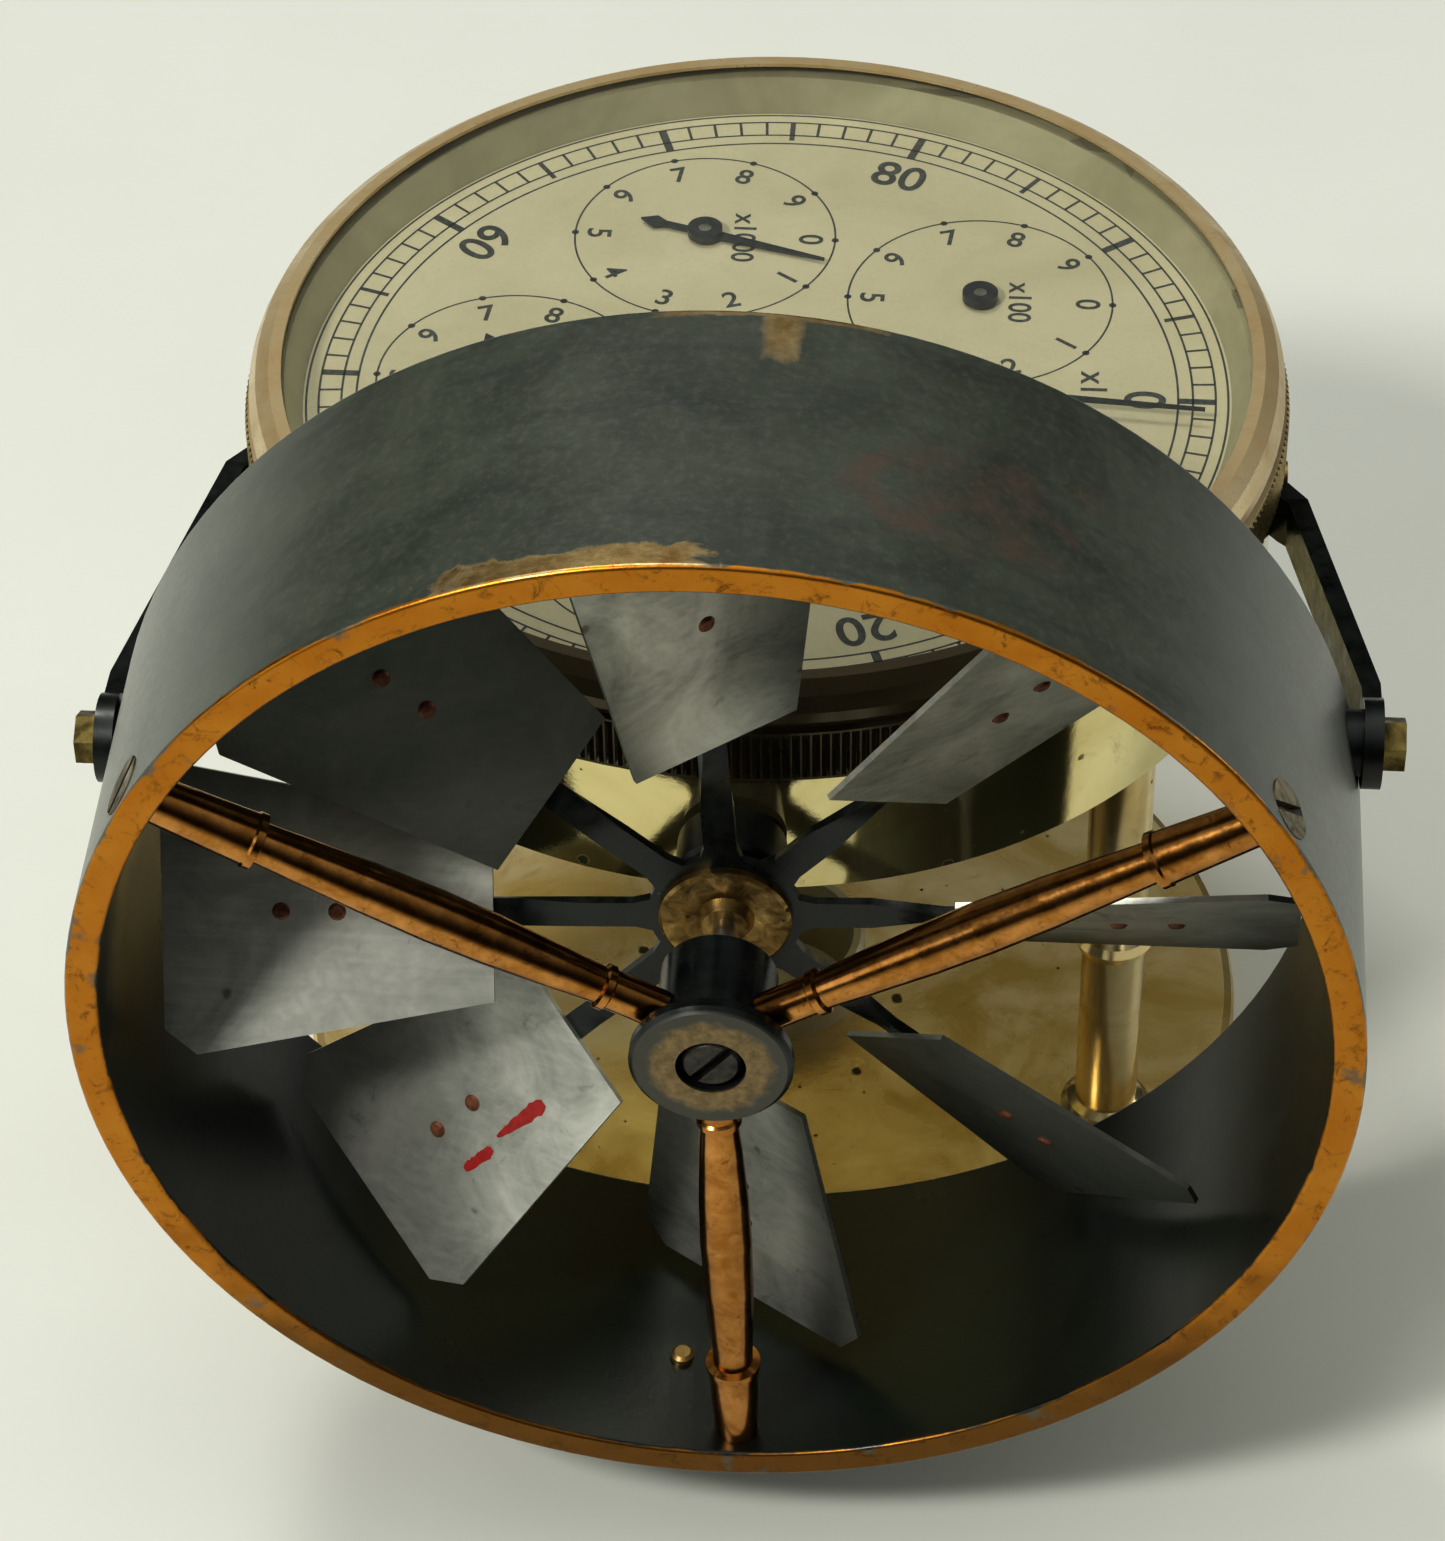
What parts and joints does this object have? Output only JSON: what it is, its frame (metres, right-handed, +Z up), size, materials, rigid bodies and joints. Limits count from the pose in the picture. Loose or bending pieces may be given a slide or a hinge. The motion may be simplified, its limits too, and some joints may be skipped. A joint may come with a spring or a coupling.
{
  "type": "vane anemometer",
  "caption": "Vane anemometer on a round stand: a ring shrouds a fan of pitched vanes that drives geared hands on an upward-facing dial under glass.",
  "frame": {"origin": "centre of the stand's underside, on the axis of the round base and case", "axes": "+Z up through the dial, the fan's axis is horizontal in the plane X = 0 and the fan faces -Y; +X is to the right seen from in front of the fan"},
  "size_m": [0.1098, 0.1168, 0.1165],
  "materials": {
    "blackened_brass": "chemically blackened brass, mottled, worn to bare metal at edges",
    "bright_brass": "bare turned brass, lightly tarnished",
    "copper_bronze": "reddish bronze patina",
    "lacquered_brass": "polished and lacquered brass with dark tarnish spots",
    "dull_brass": "dull brass",
    "steel": "plain turned steel",
    "black_steel": "black finish, slightly glossy",
    "blued_steel": "blued steel",
    "stained_aluminium": "thin rolled aluminium, brushed and stained",
    "rivet_copper": "reddish brown rivets",
    "silvered_dial": "matt cream silvered dial",
    "dial_glass": "clear flat glass"
  },
  "bodies": {
    "frame_and_case": {"arbor_cock": "bright_brass", "arm_bolts": "bright_brass", "arm_foot_screws": "bright_brass", "arm_spacers": "blackened_brass", "base_pillars": "lacquered_brass", "base_plate": "lacquered_brass", "base_screws": "steel", "bearing_screw": "bright_brass", "bezel": "lacquered_brass", "case_drum": "lacquered_brass", "dial_glass": "dial_glass", "dial_plate": "silvered_dial", "fan_ring": "blackened_brass", "front_hub": "blackened_brass", "left_arm": "black_steel", "lower_plate": "bright_brass", "movement_posts": "bright_brass", "pillar_nuts": "bright_brass", "pole_socket": "dull_brass", "rear_bush": "bright_brass", "rear_sleeve": "blackened_brass", "rehaut_ring": "dull_brass", "right_arm": "black_steel", "ring_stop_screw": "bright_brass", "ring_struts": "copper_bronze", "strut_screws": "bright_brass", "upper_plate": "bright_brass"},
    "fan": {"fan_arbor": "steel", "fan_worm": "steel", "fan_boss": "bright_brass", "fan_spider": "black_steel", "fan_vanes": "stained_aluminium", "vane_rivets": "rivet_copper"},
    "worm_wheel_shaft": {"worm_wheel": "bright_brass", "worm_wheel_arbor": "steel"},
    "main_hand_shaft": {"centre_wheel": "bright_brass", "centre_arbor": "steel", "main_hand": "blued_steel"},
    "hundreds_idler_shaft": {"hundreds_idler": "bright_brass"},
    "hundreds_hand_shaft": {"hundreds_arbor": "steel", "hundreds_wheel": "bright_brass", "hundreds_hand_boss": "blued_steel"},
    "thousands_idler_shaft": {"thousands_idler": "bright_brass"},
    "thousands_hand_shaft": {"thousands_arbor": "steel", "thousands_wheel": "bright_brass", "thousands_hand": "blued_steel"},
    "ten_thousands_idler_shaft": {"ten_thousands_idler": "bright_brass"},
    "ten_thousands_hand_shaft": {"ten_thousands_arbor": "steel", "ten_thousands_wheel": "bright_brass", "ten_thousands_hand": "blued_steel"},
    "hundred_thousands_idler_shaft": {"hundred_thousands_idler": "bright_brass"},
    "hundred_thousands_hand_shaft": {"hundred_thousands_arbor": "steel", "hundred_thousands_wheel": "bright_brass", "hundred_thousands_hand": "blued_steel"},
    "millions_idler_shaft": {"millions_idler": "bright_brass"},
    "millions_hand_shaft": {"millions_arbor": "steel", "millions_wheel": "bright_brass", "millions_hand": "blued_steel"}
  },
  "joints": [
    {"name": "fan_spin", "type": "hinge", "parent": "frame_and_case", "child": "fan", "pos_m": [0, -0.055, 0.0645], "axis": [0, -1, 0], "continuous": true},
    {"name": "worm_wheel_turn", "type": "hinge", "parent": "frame_and_case", "child": "worm_wheel_shaft", "pos_m": [-0.012, -0.02078, 0.0645], "axis": [0, 0, 1], "continuous": true},
    {"name": "main_hand_turn", "type": "hinge", "parent": "frame_and_case", "child": "main_hand_shaft", "pos_m": [0, 0, 0.07], "axis": [0, 0, 1], "continuous": true},
    {"name": "hundreds_idler_turn", "type": "hinge", "parent": "frame_and_case", "child": "hundreds_idler_shaft", "pos_m": [0.01428, 0.00079, 0.071], "axis": [0, 0, 1], "continuous": true},
    {"name": "hundreds_hand_turn", "type": "hinge", "parent": "frame_and_case", "child": "hundreds_hand_shaft", "pos_m": [0.01836, 0.01334, 0.071], "axis": [0, 0, 1], "continuous": true},
    {"name": "thousands_idler_turn", "type": "hinge", "parent": "frame_and_case", "child": "thousands_idler_shaft", "pos_m": [0.00616, 0.0208, 0.071], "axis": [0, 0, 1], "continuous": true},
    {"name": "thousands_hand_turn", "type": "hinge", "parent": "frame_and_case", "child": "thousands_hand_shaft", "pos_m": [-0.00701, 0.02159, 0.071], "axis": [0, 0, 1], "continuous": true},
    {"name": "ten_thousands_idler_turn", "type": "hinge", "parent": "frame_and_case", "child": "ten_thousands_idler_shaft", "pos_m": [-0.01788, 0.01229, 0.071], "axis": [0, 0, 1], "continuous": true},
    {"name": "ten_thousands_hand_turn", "type": "hinge", "parent": "frame_and_case", "child": "ten_thousands_hand_shaft", "pos_m": [-0.0227, 0, 0.071], "axis": [0, 0, 1], "continuous": true},
    {"name": "hundred_thousands_idler_turn", "type": "hinge", "parent": "frame_and_case", "child": "hundred_thousands_idler_shaft", "pos_m": [-0.01721, -0.0132, 0.071], "axis": [0, 0, 1], "continuous": true},
    {"name": "hundred_thousands_hand_turn", "type": "hinge", "parent": "frame_and_case", "child": "hundred_thousands_hand_shaft", "pos_m": [-0.00701, -0.02159, 0.071], "axis": [0, 0, 1], "continuous": true},
    {"name": "millions_idler_turn", "type": "hinge", "parent": "frame_and_case", "child": "millions_idler_shaft", "pos_m": [0.00724, -0.02045, 0.071], "axis": [0, 0, 1], "continuous": true},
    {"name": "millions_hand_turn", "type": "hinge", "parent": "frame_and_case", "child": "millions_hand_shaft", "pos_m": [0.01836, -0.01334, 0.071], "axis": [0, 0, 1], "continuous": true}
  ],
  "couplings": [
    {"joint": "worm_wheel_turn", "follows": "fan_spin", "ratio": 0.025},
    {"joint": "main_hand_turn", "follows": "fan_spin", "ratio": -0.005},
    {"joint": "hundreds_idler_turn", "follows": "fan_spin", "ratio": 0.0015},
    {"joint": "hundreds_hand_turn", "follows": "fan_spin", "ratio": -0.0005},
    {"joint": "thousands_idler_turn", "follows": "fan_spin", "ratio": 0.00015},
    {"joint": "thousands_hand_turn", "follows": "fan_spin", "ratio": -0.00005},
    {"joint": "ten_thousands_idler_turn", "follows": "fan_spin", "ratio": 0.000015},
    {"joint": "ten_thousands_hand_turn", "follows": "fan_spin", "ratio": -0.000005},
    {"joint": "hundred_thousands_idler_turn", "follows": "fan_spin", "ratio": 0.0000015},
    {"joint": "hundred_thousands_hand_turn", "follows": "fan_spin", "ratio": -0.0000005},
    {"joint": "millions_idler_turn", "follows": "fan_spin", "ratio": 0.00000015},
    {"joint": "millions_hand_turn", "follows": "fan_spin", "ratio": -0.00000005}
  ]
}
